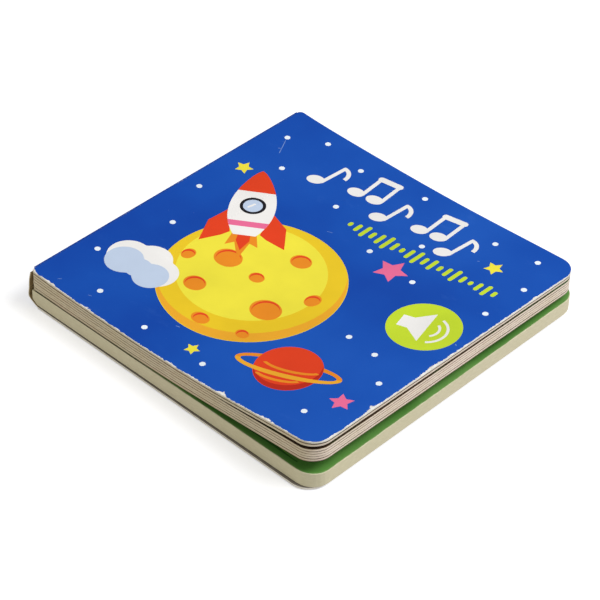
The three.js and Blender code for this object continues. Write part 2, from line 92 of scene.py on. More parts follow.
# Bevels of the leaves' edges, and the lip inside the wide gap
BEVEL, BEVEL_RISE, OUTER_BEVEL_RISE = 0.07, 0.1, 0.23
GAP_LIP = 0.4

# Steps of a board's outline: round the spine corner, along the side, round the fore corner, across
SPINE_ARC, STRAIGHT, ARC, ACROSS = 6, 80, 12, 72
STATIONS = SPINE_ARC + STRAIGHT + ARC

# Places along the cover's edge that are worn further in: x, y, reach along the edge, strength
WORN_PLACES = ((138.5, 0.0, 2.4, 3.2), (112.0, 0.0, 3.0, 1.2), (34.0, 0.0, 2.2, 1.4), (84.0, 0.0, 2.0, 0.9),
               (165.0, 70.0, 9.0, 1.5), (165.0, 33.0, 3.0, 1.6), (165.0, 9.7, 3.0, 1.0), (0.0, 0.0, 2.5, 0.4))
# Rings nearer to the cover's edge than this have small nicks
NICK_REACH = 0.5

# Paper that joins the spine to the cover: its lower and upper edge, where it bends, how far out it lies
# and the height from which it stands upright
FOLD_LOW, FOLD_HIGH = 16.7, 19.1
FOLD_OUT_LOW, FOLD_OUT_HIGH, FOLD_UPRIGHT = -0.84, -0.37, 18.4
FOLD_STEPS = 32
# Steps at its top that are blue on both sides
FOLD_PRINTED = 9
PAPER_THICK = 0.12

# Colours, red, green and blue from 0 to 255
BLUE, BLUE_DARK, BLUE_LIGHT = (14, 76, 174), (8, 64, 162), (24, 86, 184)
GREENS = ((72, 122, 50), (86, 138, 62), (106, 154, 78))
PAPER = (240, 238, 234)
EDGE_LIGHT, EDGE_DARK = (226, 216, 192), (192, 176, 146)
CORE_LIGHT, CORE_DARK = (222, 215, 186), (208, 199, 168)
# Dark brown of the painted shade in the gaps between leaves, boards and cover
SHADE_BROWN = (58, 46, 28)
INKS = {
    "white": (244, 242, 240), "frost": (240, 248, 255), "mist": (196, 212, 236), "scratch": (120, 150, 208),
    "yellow": (243, 230, 66), "gold": (238, 202, 38), "amber": (240, 172, 44), "orange": (238, 142, 34),
    "red": (230, 66, 30), "dark_red": (190, 42, 24), "pink": (236, 110, 154), "black": (26, 24, 30),
    "lime": (200, 224, 50), "meadow": (120, 168, 66), "leaf": (54, 104, 42),
}
PRINT_SHEEN = 0.12

# Height of the painted shade line in the gap between the back cover and the block
BACK_SEAM_SHADE = 0.98
# Where the page stack lies on the green page, the rim is painted as a dark line of shade under the stack:
# metres along the row
CREVICE_SHADE_SPAN = (-0.02, 0.015)

# Prints: how far each layer stands out, and how deep all of them reach into the board
PRINT_LIFT = 0.012
PRINT_DEPTH = 0.08
MOON = (70.0, 62.0, 41.0)
CRATERS = ((52.0, 66.0, 6.6, 5.8), (76.0, 86.0, 5.0, 4.4), (54.0, 44.0, 5.2, 4.6), (88.0, 52.0, 7.2, 6.4),
           (72.0, 29.5, 4.4, 3.4), (38.0, 56.0, 3.0, 3.6), (70.0, 65.0, 3.6, 3.2), (98.0, 70.0, 3.4, 4.2),
           (92.0, 34.0, 3.2, 2.6))
DOTS = ((10, 146), (26, 156), (50, 152), (60, 125), (84, 157), (128, 153), (150, 155), (158, 136),
        (157, 112), (120, 108), (8, 92), (18, 66), (9, 30), (30, 12), (60, 9), (94, 9), (142, 60), (156, 47),
        (146, 14), (126, 62), (106, 130), (24, 128), (92, 112))
DOT_RADIUS = 1.35
# Centre of each note and its lean
NOTES = ((40, 139, 0.1), (59, 145, -0.12), (78, 138.5, 0.08), (97, 144.5, -0.08), (115, 139, 0.12))
BARS = (3.0, 5.5, 8.5, 5.0, 7.5, 10.0, 6.0, 3.5, 7.0, 9.5, 5.5, 8.0, 4.0, 6.5, 9.0, 5.0, 3.0, 6.0, 8.0, 4.0)
PRESS_DISC = (144.3, 87.9, 16.1)
# Strokes of wear: start, length along x and y, width
MARKS = ((15.4, 135.2, -4.4, 8.6, 0.3), (12.6, 137.4, 0.8, 0.6, 0.3), (68.6, 18.8, 1.6, 0.5, 0.3),
         (161.6, 87.6, 0.6, -0.3, 0.5), (12.0, 4.6, 1.2, 1.0, 0.22), (28.6, 6.6, 1.4, 0.5, 0.22),
         (69.4, 109.4, 2.2, 0.9, 0.22), (130.4, 138.2, 0.7, 0.5, 0.3))
PAGE_RIM = 3.0
HILL_RUN = 100.0
HILL_STEPS = 40
FLOWERS = ((30, 24, 0.2), (66, 20, 0.5), (104, 26, 0.9))

# Light
AMBIENT = 0.36
FLOOR_SHINE = 0.55
FLOOR_SIZE, FLOOR_DROP = 6.0, 0.0004

# Camera, fitted to the corners and edges of the book in the photograph
AZIMUTH, ELEVATION, ROLL = 42.356, 39.84, 2.047
DISTANCE = 1079.0
FOCUS_PIXELS = 2542.11
IMAGE_PIXELS = 600
SENSOR = 36.0
TARGET = (84.909, 76.136, 8.4)


def to_row(x, y, z):
    return Vector(((x + SPINE_X) * MM, (y + TAIL_Y) * MM, z * MM))


def linear(colour, share=1.0):
    """A share of an sRGB colour, 0 to 255, as the linear colour that a material takes."""
    def one(value):
        value /= 255
        return share * (value / 12.92 if value <= 0.04045 else ((value + 0.055) / 1.055) ** 2.4)
    return (*(one(value) for value in colour), 1.0)


def tint(value):
    """A colour from 0 to 255 made linear. A linear colour or a socket stays as it is."""
    return linear(value) if isinstance(value, tuple) and len(value) == 3 else value


# Shape of the warped stack

def smooth(value, low, high):
    t = min(max((value - low) / (high - low), 0.0), 1.0)
    return t * t * (3 - 2 * t)


def blend(a, b, t):
    return a + (b - a) * t


def lift(x, y):
    slope = blend(TAIL_SLOPE, HEAD_SLOPE, y / LEAF)
    return slope * BEND_WIDTH * math.log(1 + math.exp((x - BEND_START) / BEND_WIDTH))


def fore_opening(x, y):
    return smooth(x, FAN_START, LEAF) * blend(1, HEAD_FAN, y / LEAF)


def stack_z(x, y, level, above_gap=True):
    """Height of a level of the stack, given as if the stack lay flat and closed."""
    spread = SWELL * math.exp(-x / SWELL_REACH) + FAN * fore_opening(x, y)
    gap = WIDE_GAP * fore_opening(x, y) if above_gap else 0
    return STACK_BOTTOM + lift(x, y) + level * (1 + spread / STACK) + gap


def pages_bottom(x, y):
    return stack_z(x, y, 0.0, False)


def pages_top(x, y):
    return stack_z(x, y, PAGES)


def cover_bottom(x, y):
    return stack_z(x, y, PAGES + SEAT)


def cover_top(x, y):
    return stack_z(x, y, STACK)


def block_top(x, y):
    return BLOCK_TOP


def level_place(x, y):
    return x, y


def pulled(x, y):
    """A place on a leaf, drawn in towards the far corner as the warp does."""
    pull = (x / LEAF) * (y / LEAF)
    return x - PULL_X * pull, y - PULL_Y * pull


# Meshes

def add_piece(name, points, faces, material, values=None, sharp=None):
    """A mesh with numbers on its points. With an angle in degrees it is smooth except at sharper edges."""
    mesh = bpy.data.meshes.new(name)
    mesh.from_pydata(points, [], faces)
    for key, numbers in (values or {}).items():
        mesh.attributes.new(key, "FLOAT", "POINT").data.foreach_set("value", numbers)
    if sharp:
        mesh.polygons.foreach_set("use_smooth", [True] * len(mesh.polygons))
        mesh.set_sharp_from_angle(angle=math.radians(sharp))
    mesh.materials.append(material)
    piece = bpy.data.objects.new(name, mesh)
    bpy.context.scene.collection.objects.link(piece)
    return piece


def station(i, spine, inset):
    """One place along the tail side of a board, from its spine edge to its fore-edge."""
    corner_x = LEAF - CORNER
    if i <= SPINE_ARC:
        angle = math.pi / 2 * i / SPINE_ARC
        return spine + SPINE_CORNER * (1 - math.cos(angle)), inset + SPINE_CORNER * (1 - math.sin(angle))
    if i <= SPINE_ARC + STRAIGHT:
        return blend(spine + SPINE_CORNER, corner_x, (i - SPINE_ARC) / STRAIGHT), inset
    angle = math.pi / 2 * (i - SPINE_ARC - STRAIGHT) / ARC
    radius = CORNER - inset
    return corner_x + radius * math.sin(angle), CORNER - radius * math.cos(angle)


# Cells of a board's grid in order round its outline: tail side, fore-edge, head side, spine edge
RIM = ([(i, 0) for i in range(STATIONS)] + [(STATIONS, j) for j in range(ACROSS)]
       + [(i, ACROSS) for i in range(STATIONS, 0, -1)] + [(0, j) for j in range(ACROSS, 0, -1)])


def board_stack(name, rings, attributes, material, pull=pulled):
    """A board or stack of boards. Each ring is (spine x, inset(x, y), z(x, y), {attribute: value})."""
    points, faces = [], []
    values = {key: [] for key in attributes}

    def place(ring, i, j):
        spine, inset_of, z_of, marks = ring
        plain_x, plain_side = station(i, spine, 0)
        inset = inset_of(plain_x, blend(plain_side, LEAF - plain_side, j / ACROSS))
        x, side = station(i, spine, inset)
        y = blend(side, LEAF - side, j / ACROSS)
        points.append(to_row(*pull(x, y), z_of(x, y)))
        for key in attributes:
            values[key].append(marks.get(key, 0.0))

    def cap(number, up):
        spots = {cell: number * len(RIM) + p for p, cell in enumerate(RIM)}
        for i in range(1, STATIONS):
            for j in range(1, ACROSS):
                spots[i, j] = len(points)
                place(rings[number], i, j)
        for i in range(STATIONS):
            for j in range(ACROSS):
                quad = (spots[i, j], spots[i + 1, j], spots[i + 1, j + 1], spots[i, j + 1])
                faces.append(quad if up else quad[::-1])

    for ring in rings:
        for cell in RIM:
            place(ring, *cell)
    for start in range(0, len(RIM) * (len(rings) - 1), len(RIM)):
        for p in range(len(RIM)):
            a, b = start + p, start + (p + 1) % len(RIM)
            faces.append((a, b, b + len(RIM), a + len(RIM)))
    cap(0, False)
    cap(len(rings) - 1, True)
    return add_piece(name, points, faces, material, values, sharp=38)


def even_ring(spine, inset, z_of, **marks):
    """A ring with the same inset all round."""
    return spine, lambda x, y: inset, z_of, marks


# Material nodes

def add_node(tree, kind, inputs, **settings):
    """A new node, with its inputs given by number or name as values or as sockets to link."""
    node = tree.nodes.new(kind)
    for key, value in settings.items():
        setattr(node, key, value)
    for key, value in inputs.items():
        if isinstance(value, bpy.types.NodeSocket):
            tree.links.new(value, node.inputs[key])
        else:
            node.inputs[key].default_value = value
    return node


class Nodes:
    """Short calls for the nodes of one material. Colours are given from 0 to 255."""

    def __init__(self, name, roughness=0.5, metallic=0.0, sheen=0.25):
        self.material = bpy.data.materials.new(name)
        self.material.use_nodes = True
        self.tree = self.material.node_tree
        self.shader = self.tree.nodes["Principled BSDF"].inputs
        self.shader["Roughness"].default_value = roughness
        self.shader["Metallic"].default_value = metallic
        self.shader["Specular IOR Level"].default_value = sheen
        coordinates = add_node(self.tree, "ShaderNodeTexCoord", {}).outputs
        self.place, self.normal = coordinates["Object"], coordinates["Normal"]

    def math(self, operation, a, b=0.0):
        return add_node(self.tree, "ShaderNodeMath", {0: a, 1: b}, operation=operation).outputs[0]

    def plus(self, a, b):
        return self.math("ADD", a, b)

    def minus(self, a, b):
        return self.math("SUBTRACT", a, b)

    def times(self, a, b):
        return self.math("MULTIPLY", a, b)

    def most(self, a, b):
        return self.math("MAXIMUM", a, b)

    def noise(self, scale, detail=3.0, stretch=None, roughness=0.5):
        place = self.place
        if stretch:
            place = add_node(self.tree, "ShaderNodeMapping", {"Vector": place, "Scale": stretch}).outputs[0]
        inputs = {"Vector": place, "Scale": scale, "Detail": detail, "Roughness": roughness}
        return add_node(self.tree, "ShaderNodeTexNoise", inputs).outputs[0]

    def levels(self, factor, low, high, to_low=0.0, to_high=1.0):
        inputs = {0: factor, 1: low, 2: high, 3: to_low, 4: to_high}
        return add_node(self.tree, "ShaderNodeMapRange", inputs).outputs[0]

    def spots(self, scale, detail, low, high, to=(0.0, 1.0), stretch=None, roughness=0.5):
        """Noise, with the part between two levels spread out."""
        return self.levels(self.noise(scale, detail, stretch, roughness), low, high, *to)

    def ramp(self, factor, stops):
        node = add_node(self.tree, "ShaderNodeValToRGB", {0: factor})
        marks = node.color_ramp.elements
        while len(marks) < len(stops):
            marks.new(0.5)
        for mark, (position, colour) in zip(marks, stops):
            mark.position = position
            mark.color = linear(colour)
        return node.outputs[0]

    def mix(self, factor, a, b):
        inputs = {0: factor, 6: tint(a), 7: tint(b)}
        return add_node(self.tree, "ShaderNodeMix", inputs, data_type="RGBA").outputs[2]

    def attribute(self, name):
        return add_node(self.tree, "ShaderNodeAttribute", {}, attribute_name=name).outputs["Fac"]

    def axes(self, vector):
        return add_node(self.tree, "ShaderNodeSeparateXYZ", {0: vector}).outputs

    def fore_face(self):
        """1 on faces that look towards the fore-edge."""
        return self.levels(self.axes(self.normal)[0], 0.3, 0.8)

    def bump(self, height, distance, strength=1.0):
        inputs = {"Height": height, "Distance": distance, "Strength": strength}
        self.tree.links.new(add_node(self.tree, "ShaderNodeBump", inputs).outputs[0], self.shader["Normal"])

    def colour(self, value):
        self.tree.links.new(value, self.shader["Base Color"])

    def rough(self, value):
        self.tree.links.new(value, self.shader["Roughness"])


def worn_rim(m):
    """1 where the print is worn off along an edge: a thin ragged line with a few wider patches."""
    nibble = m.noise(700, 4, roughness=0.7)
    wander = m.noise(160, 4, roughness=0.6)
    patch = m.spots(48, 3, 0.6, 0.7, (0, 1.3))
    line = m.levels(m.plus(m.times(nibble, 0.6), m.times(wander, 0.4)), 0.4, 0.62, 0, 0.6)
    ragged = m.times(patch, m.levels(nibble, 0.3, 0.6, 0.5, 1.1))
    reach = m.times(m.plus(m.plus(line, ragged), 0.12), m.attribute("wear"))
    return m.levels(m.minus(reach, m.attribute("edge")), 0, 0.05)


def blue_tone(m):
    tone = m.ramp(m.noise(14, 3), [(0.3, BLUE_DARK), (0.5, BLUE), (0.72, BLUE_LIGHT)])
    scuffs = m.spots(60, 6, 0.62, 0.8, stretch=(1, 2.2, 1), roughness=0.65)
    tone = m.mix(m.times(scuffs, 0.16), tone, (70, 118, 200))
    return m.mix(m.times(m.spots(900, 2, 0.76, 0.79), 0.12), tone, (150, 176, 225))


def green_tone(m):
    return m.ramp(m.noise(22, 4), list(zip((0.3, 0.5, 0.7), GREENS)))


def printed_blue():
    m = Nodes("printed_blue", 0.5, sheen=PRINT_SHEEN)
    bare = worn_rim(m)
    paper = m.mix(m.spots(500, 3, 0.35, 0.65), PAPER, (214, 210, 200))
    tone = m.mix(bare, blue_tone(m), paper)
    side = m.attribute("side")
    fibre = m.spots(420, 4, 0.35, 0.7, stretch=(1, 1, 5))
    # The board's cut edge is painted lighter on faces towards the fore-edge and darker on the others: painted
    # light and shade
    board = m.mix(m.fore_face(), m.mix(fibre, EDGE_LIGHT, EDGE_DARK), m.mix(fibre, PAPER, EDGE_LIGHT))
    # Painted shade in the seam where the cover's lowest edge meets the leaves
    board = m.mix(m.attribute("seam"), board, SHADE_BROWN)
    m.colour(m.mix(m.attribute("under"), m.mix(side, tone, board), green_tone(m)))
    m.rough(m.most(m.times(m.most(bare, side), 0.88), m.spots(40, 4, 0.3, 0.7, (0.42, 0.54))))
    m.bump(m.plus(m.times(m.noise(180, 3), 0.5), m.times(bare, -0.8)), 0.00006, 0.6)
    return m.material


def page_edges():
    m = Nodes("page_edges", 0.9, sheen=0.1)
    fore = m.fore_face()
    fibre = m.noise(520, 5, (1, 1, 9), 0.65)
    thread = m.levels(fibre, 0.3, 0.7)
    # Page edges painted lighter on faces towards the fore-edge and darker on the others: painted light and
    # shade
    pale = m.mix(fore, m.mix(thread, EDGE_LIGHT, EDGE_DARK), m.mix(thread, (244, 230, 214), (214, 196, 180)))
    pale = m.mix(m.spots(70, 4, 0.4, 0.75, (0, 0.35)), pale, (206, 190, 152))
    # Painted shade in the lines between leaves, stronger on faces towards the fore-edge
    line = m.ramp(m.noise(38, 2), [(0.36, (44, 62, 26)), (0.44, SHADE_BROWN), (0.6, (112, 50, 44))])
    line = m.mix(m.times(fore, 0.65), line, (46, 32, 28))
    shaded_lines = m.times(m.levels(m.attribute("line_shade"), 0.1, 0.6), m.levels(fore, 0.0, 1.0, 0.72, 1.0))
    # Painted shade in the wide gap between the leaves, dark green to dark brown
    gap = m.ramp(m.noise(30, 2), [(0.4, (44, 92, 36)), (0.55, (74, 54, 38))])
    tone = m.mix(m.levels(m.attribute("gap_shade"), 0.1, 0.8), m.mix(shaded_lines, pale, line), gap)
    m.colour(m.mix(m.levels(m.attribute("page"), 0.2, 0.5), tone, green_tone(m)))
    m.bump(fibre, 0.00008, 0.7)
    return m.material


def core_board():
    m = Nodes("core_board", 0.9, sheen=0.1)
    fibre = m.noise(420, 5, (1, 1, 4), 0.65)
    tone = m.mix(m.levels(fibre, 0.3, 0.72), CORE_LIGHT, CORE_DARK)
    m.colour(m.mix(m.spots(30, 3, 0.4, 0.7, (0, 0.4)), tone, (208, 202, 166)))
    m.bump(fibre, 0.00008, 0.6)
    return m.material


def printed_green():
    m = Nodes("printed_green", 0.5, sheen=PRINT_SHEEN)
    edge, side = m.attribute("edge"), m.attribute("side")
    tone = m.mix(m.levels(edge, 0.2, 1.4, 0.3, 0), green_tone(m), (150, 182, 112))
    board = m.mix(m.spots(420, 4, 0.35, 0.7), CORE_LIGHT, CORE_DARK)
    worn = m.levels(m.minus(edge, m.spots(150, 4, 0.35, 0.65, (-0.05, 0.16))), 0.0, 0.4, 1, 0)
    tone = m.mix(m.most(worn, side), tone, board)
    # Painted shade on the rim where it lies in the crevice under the page stack
    crevice_shade = m.times(m.levels(m.axes(m.place)[0], *CREVICE_SHADE_SPAN, 1, 0), m.levels(edge, 0, 1, 1, 0))
    m.colour(m.mix(m.times(crevice_shade, m.levels(side, 0, 1, 1, 0)), tone, SHADE_BROWN))
    m.bump(m.noise(200, 3), 0.00004, 0.5)
    return m.material


def wrap_print():
    """Blue on the outside of the spine, bare brown paper on the cut ends and inside, where it is darker as
    painted shade of the hollow.
    """
    m = Nodes("wrap_print", 0.5, sheen=PRINT_SHEEN)
    x, y, _ = m.axes(m.normal)
    along = m.math("ABSOLUTE", y)
    tone = m.mix(m.times(m.spots(160, 5, 0.62, 0.7), 0.5), blue_tone(m), (200, 200, 205))
    cut = m.mix(m.spots(300, 4, 0.35, 0.7), (222, 208, 176), (192, 176, 142))
    # Bare paper inside, darkened as painted shade of the hollow behind the wrap
    inside = m.mix(m.spots(300, 4, 0.35, 0.7), (172, 150, 108), (140, 118, 80))
    outside = m.times(m.levels(x, -0.2, -0.05, 1, 0), m.levels(along, 0.5, 0.6, 1, 0))
    m.colour(m.mix(outside, m.mix(m.levels(along, 0.5, 0.6), inside, cut), tone))
    m.bump(m.noise(260, 3), 0.00005, 0.5)
    return m.material


def back_print():
    m = Nodes("back_print", 0.5, sheen=PRINT_SHEEN)
    scuffs = m.spots(70, 6, 0.6, 0.78, stretch=(1, 2, 1), roughness=0.65)
    tone = m.mix(m.times(scuffs, 0.4), blue_tone(m), (150, 170, 210))
    board = m.mix(m.spots(420, 4, 0.35, 0.7, stretch=(1, 1, 5)), (252, 248, 240), (232, 224, 210))
    # Painted shade line along the gap between the back cover and the block
    seam = m.levels(m.axes(m.place)[2], BACK_SEAM_SHADE * MM, (BACK_SEAM_SHADE + 0.15) * MM)
    under = m.levels(m.axes(m.normal)[2], -0.5, -0.4, 1, 0)
    m.colour(m.mix(under, m.mix(seam, board, SHADE_BROWN), tone))
    m.bump(m.noise(220, 3), 0.00005, 0.5)
    return m.material


def fold_paper():
    m = Nodes("fold_paper", 0.55, sheen=PRINT_SHEEN)
    m.colour(m.mix(m.attribute("outside"), green_tone(m), blue_tone(m)))
    m.bump(m.noise(260, 3), 0.00004, 0.5)
    return m.material


def ink(name, colour):
    m = Nodes(f"ink_{name}", 0.5, sheen=PRINT_SHEEN)
    m.colour(m.mix(m.spots(26, 4, 0.35, 0.7), colour, linear(colour, 0.86)))
    m.rough(m.spots(40, 4, 0.3, 0.7, (0.42, 0.54)))
    m.bump(m.noise(180, 3), 0.00003, 0.5)
    return m.material


def moulded(name, colour, roughness):
    m = Nodes(name, roughness)
    m.colour(m.mix(m.spots(120, 4, 0.35, 0.7), colour, linear(colour, 0.8)))
    m.bump(m.noise(2200, 2), 0.00003, 0.6)
    return m.material


def metal(name, colour, roughness):
    m = Nodes(name, roughness, 1.0)
    streak = m.noise(500, 4, (1, 8, 1))
    m.colour(m.mix(m.levels(streak, 0.3, 0.7, 0, 0.5), colour, linear(colour, 0.75)))
    m.rough(m.levels(streak, 0.3, 0.7, roughness - 0.08, roughness + 0.1))
    m.bump(streak, 0.00002, 0.5)
    return m.material


# Boards

def edge_wear(x, y):
    """How worn the cover's edge is: most at the tail, then the fore-edge, with less at the corners."""
    corner = min(math.hypot(LEAF - x, y), math.hypot(LEAF - x, LEAF - y))
    spared = 0.45 + 0.55 * smooth(corner, CORNER, 2.2 * CORNER)
    near = min(x, y, LEAF - x, LEAF - y)
    if near == y:
        return 0.8 * spared
    if near == LEAF - x:
        return 0.6 * spared
    return 0.05


def local_wear(x, y):
    return sum(strength * math.exp(-((x - px) ** 2 + (y - py) ** 2) / reach ** 2)
               for px, py, reach, strength in WORN_PLACES)


def cover_ring(spine, inset, height, **marks):
    """A ring of the cover, whose outline has small nicks where it is worn."""
    def inset_of(x, y):
        nick = 0.07 * min(edge_wear(x, y), 1.0) * noise.noise(Vector((x / 2.1, y / 2.1, 5.0)))
        return inset + nick if inset < NICK_REACH else inset

    return spine - COVER_REACH, inset_of, lambda x, y: stack_z(x, y, height), marks


def front_cover():
    low = PAGES + SEAT
    rings = [
        cover_ring(0.6, 0.5, low, under=1, side=1),
        cover_ring(0.3, 0.3, low, side=1),
        # The two rings at the foot of the cover's edge carry painted shade of the seam above the leaves
        cover_ring(0.0, 0.12, low, side=1, seam=1),
        cover_ring(0.0, 0.0, low + 0.12, side=1, seam=1),
        cover_ring(0.0, 0.0, low + 0.3, side=1),
        cover_ring(0.1, 0.0, STACK - 0.42, side=1),
        cover_ring(0.25, 0.02, STACK - 0.22),
        cover_ring(0.7, 0.1, STACK - 0.07, edge=0.12),
        cover_ring(1.2, 0.24, STACK, edge=0.28),
        cover_ring(1.6, 0.5, STACK, edge=0.5),
        cover_ring(2.0, 0.9, STACK, edge=0.9),
        cover_ring(2.6, 1.5, STACK, edge=1.5),
        cover_ring(3.4, 2.4, STACK, edge=2.4),
    ]
    cover = board_stack("cover_printed", rings, ("edge", "side", "wear", "under", "seam"), printed_blue())
    places = [(v.co.x / MM - SPINE_X, v.co.y / MM - TAIL_Y) for v in cover.data.vertices]
    wear = [edge_wear(x, y) + local_wear(x, y) for x, y in places]
    cover.data.attributes["wear"].data.foreach_set("value", wear)
    return cover


def leaf_ring(leaf, inset, level, shift, line_shade, gap_shade=0.0):
    """A ring of one leaf, with that leaf's own uneven edge."""
    def inset_of(x, y):
        wave = noise.noise(Vector((x / 14, y / 14, leaf * 7.3)))
        rough = noise.noise(Vector((x / 1.7, y / 1.7, leaf * 3.1)))
        return inset + (0.1 + 0.1 * wave + 0.03 * rough + 0.05 * math.sin(leaf * 2.4))

    def z_of(x, y):
        return stack_z(x, y, level, leaf >= WIDE_GAP_LEAF) + shift

    return 0.0, inset_of, z_of, {"line_shade": line_shade, "gap_shade": gap_shade}


def groove_ring(leaf):
    """The bottom of the painted shade line above a leaf, which is far deeper at the wide gap."""
    wide = leaf + 1 == WIDE_GAP_LEAF

    def inset_of(x, y):
        return LINE_DEPTH + (WIDE_GAP_DEPTH * smooth(x, FAN_START, LEAF) if wide else 0)

    def z_of(x, y):
        middle = WIDE_GAP * fore_opening(x, y) / 2 if wide else 0
        return stack_z(x, y, (leaf + 1) * LEAF_THICK, leaf >= WIDE_GAP_LEAF) + middle

    return 0.0, inset_of, z_of, {"line_shade": LINE_SHADES[leaf], "gap_shade": float(wide)}


def page_block():
    rings = [even_ring(0.0, 0.8, pages_bottom, page=1.0), even_ring(0.0, 0.4, pages_bottom)]
    for leaf in range(LEAVES):
        first, last = leaf == 0, leaf == LEAVES - 1
        low, high = leaf * LEAF_THICK, (leaf + 1) * LEAF_THICK
        under = 0.0 if first else LINE_WIDTHS[leaf - 1] / 2
        over = 0.0 if last else LINE_WIDTHS[leaf] / 2
        rise = OUTER_BEVEL_RISE if first else BEVEL_RISE
        drop = OUTER_BEVEL_RISE if last else BEVEL_RISE
        if leaf == WIDE_GAP_LEAF:
            rings.append(leaf_ring(leaf, GAP_LIP, low, under, 0.6, 1.0))
        rings += [
            leaf_ring(leaf, BEVEL, low, under, 1.2 if first else 0.25),
            leaf_ring(leaf, 0.0, low, under + rise, 0.4 if first else 0.0),
            leaf_ring(leaf, 0.0, high, -over - drop, 0.0),
            leaf_ring(leaf, BEVEL, high, -over, 1.0 if last else 0.25),
        ]
        if leaf + 1 == WIDE_GAP_LEAF:
            rings.append(leaf_ring(leaf, GAP_LIP, high, -over, 0.6, 1.0))
        if not last:
            rings.append(groove_ring(leaf))
    rings += [even_ring(0.0, 0.4, pages_top), even_ring(0.0, 0.8, pages_top, page=1.0)]
    return board_stack("leaves", rings, ("line_shade", "gap_shade", "page"), page_edges())


def last_page():
    """The printed page on the thick part, with its own worn rim."""
    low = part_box("last_page")[0]

    def ring(inset, z, **marks):
        return even_ring(low[0] / MM - SPINE_X, inset, lambda x, y: z, **marks)

    rings = [ring(0.0, low[2] / MM, side=1.0), ring(0.0, BLOCK_TOP - 0.2, side=1.0)]
    for inset, drop in ((0.0, 0.15), (0.1, 0.04), (0.3, 0.0), (0.6, 0.0), (1.0, 0.0), (1.6, 0.0), (2.4, 0.0)):
        rings.append(ring(inset, BLOCK_TOP - drop, edge=inset))
    return board_stack("green_page", rings, ("edge", "side"), printed_green(), level_place)


def cover_fold():
    """A strip of paper up the spine, which leans out towards its lower edge."""
    points, outside, faces = [], [], []
    for k in range(FOLD_STEPS + 1):
        z = blend(FOLD_LOW, FOLD_HIGH, k / FOLD_STEPS)
        x = blend(FOLD_OUT_LOW, FOLD_OUT_HIGH, smooth(z, FOLD_LOW, FOLD_UPRIGHT))
        for across, mark in ((0.0, 1.0), (PAPER_THICK, 0.0)):
            for y in (SPINE_CORNER, LEAF - SPINE_CORNER):
                points.append(to_row(x + across, y, z))
                outside.append(1.0 if k > FOLD_STEPS - FOLD_PRINTED else mark)
    for a in range(0, 4 * FOLD_STEPS, 4):
        faces += [(a + p, a + 4 + p, a + 4 + q, a + q) for p, q in ((0, 1), (3, 2), (2, 0), (1, 3))]
    top = 4 * FOLD_STEPS
    faces += [(0, 1, 3, 2), (top + 1, top, top + 2, top + 3)]
    return add_piece("cover_fold", points, faces, fold_paper(), {"outside": outside}, sharp=60)


# Print: thin shapes that follow the surface of a board

# Body, slot, place in the plane, height and way out of each printed face
FACES = {
    "cover": ("cover_board", "printed_cover", pulled, cover_top, 1),
    "cover_inside": ("cover_board", "printed_cover", pulled, cover_bottom, -1),
    "first_page": ("page_stack", "page_board", pulled, pages_top, 1),
    "last_leaf": ("page_stack", "page_board", pulled, pages_bottom, -1),
    "last_page": ("back_part", "printed_page", level_place, block_top, 1),
}


def closed(outline):
    """The sides of an outline, each as its two ends."""
    return zip(outline, outline[1:] + outline[:1])


def within(x, y, outline):
    inside = False
    for (x1, y1), (x2, y2) in closed(outline):
        if (y1 > y) != (y2 > y) and x < (x2 - x1) * (y - y1) / (y2 - y1) + x1:
            inside = not inside
    return inside


def fine_outline(outline, cell):
    """The same outline with its long sides divided, so that they can bend too."""
    fine = []
    for (x1, y1), (x2, y2) in closed(outline):
        count = max(1, math.ceil(math.hypot(x2 - x1, y2 - y1) / cell))
        fine += [(blend(x1, x2, k / count), blend(y1, y2, k / count)) for k in range(count)]
    return fine


def flat_mesh(outline, cell):
    """Points and triangles that fill an outline, with a grid of points inside for the warp to bend."""
    outline = fine_outline(outline, cell)
    low_x, low_y = (min(p[k] for p in outline) for k in range(2))
    columns, rows = (int((max(p[k] for p in outline) - min(p[k] for p in outline)) / cell) for k in range(2))
    grid = [(low_x + (i + 0.5) * cell, low_y + (j + 0.5) * cell) for i in range(columns) for j in range(rows)]
    flat = [Vector(p) for p in outline + [p for p in grid if within(*p, outline)]]
    edges = [(k, (k + 1) % len(outline)) for k in range(len(outline))]
    points, _, triangles, *_ = delaunay_2d_cdt(flat, edges, [], 1, 1e-5)
    return points, triangles


def printed(name, outlines, ink_name, layer=1, cell=4.0, face="cover"):
    """Outlines of (x, y) points in one ink, laid on a printed face as closed thin solids."""
    body, slot, place, height, way = FACES[face]
    points, faces = [], []
    for outline in outlines:
        flat, triangles = flat_mesh(outline, cell)
        start, total = len(points), len(flat)
        for rise in (PRINT_LIFT * layer, -PRINT_DEPTH):
            points += [to_row(*place(p.x, p.y), height(p.x, p.y) + way * rise) for p in flat]
        faces += [tuple(start + k for k in t) for t in triangles]
        faces += [tuple(start + total + k for k in reversed(t)) for t in triangles]
        sides = {(t[k], t[(k + 1) % 3]) for t in triangles for k in range(3)}
        for a, b in sides:
            if (b, a) not in sides:
                faces.append((start + b, start + a, start + a + total, start + b + total))
    if way < 0:
        faces = [corners[::-1] for corners in faces]
    piece = add_piece(name, points, faces, inks[ink_name])
    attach(piece, body)


def turned(points, x, y, turn=0.0, scale=1.0):
    cos, sin = math.cos(turn) * scale, math.sin(turn) * scale
    return [(x + u * cos - v * sin, y + u * sin + v * cos) for u, v in points]


def arc(rx, ry, start, end, steps, x=0.0):
    """Points along an ellipse about (x, 0), from one angle to another in radians."""
    angles = [blend(start, end, k / steps) for k in range(steps + 1)]
    return [(x + rx * math.cos(a), ry * math.sin(a)) for a in angles]


def ellipse(x, y, rx, ry, turn=0.0, steps=40):
    return turned(arc(rx, ry, 0, 2 * math.pi, steps)[:-1], x, y, turn)


def disc(x, y, radius, steps=40):
    return ellipse(x, y, radius, radius, steps=steps)


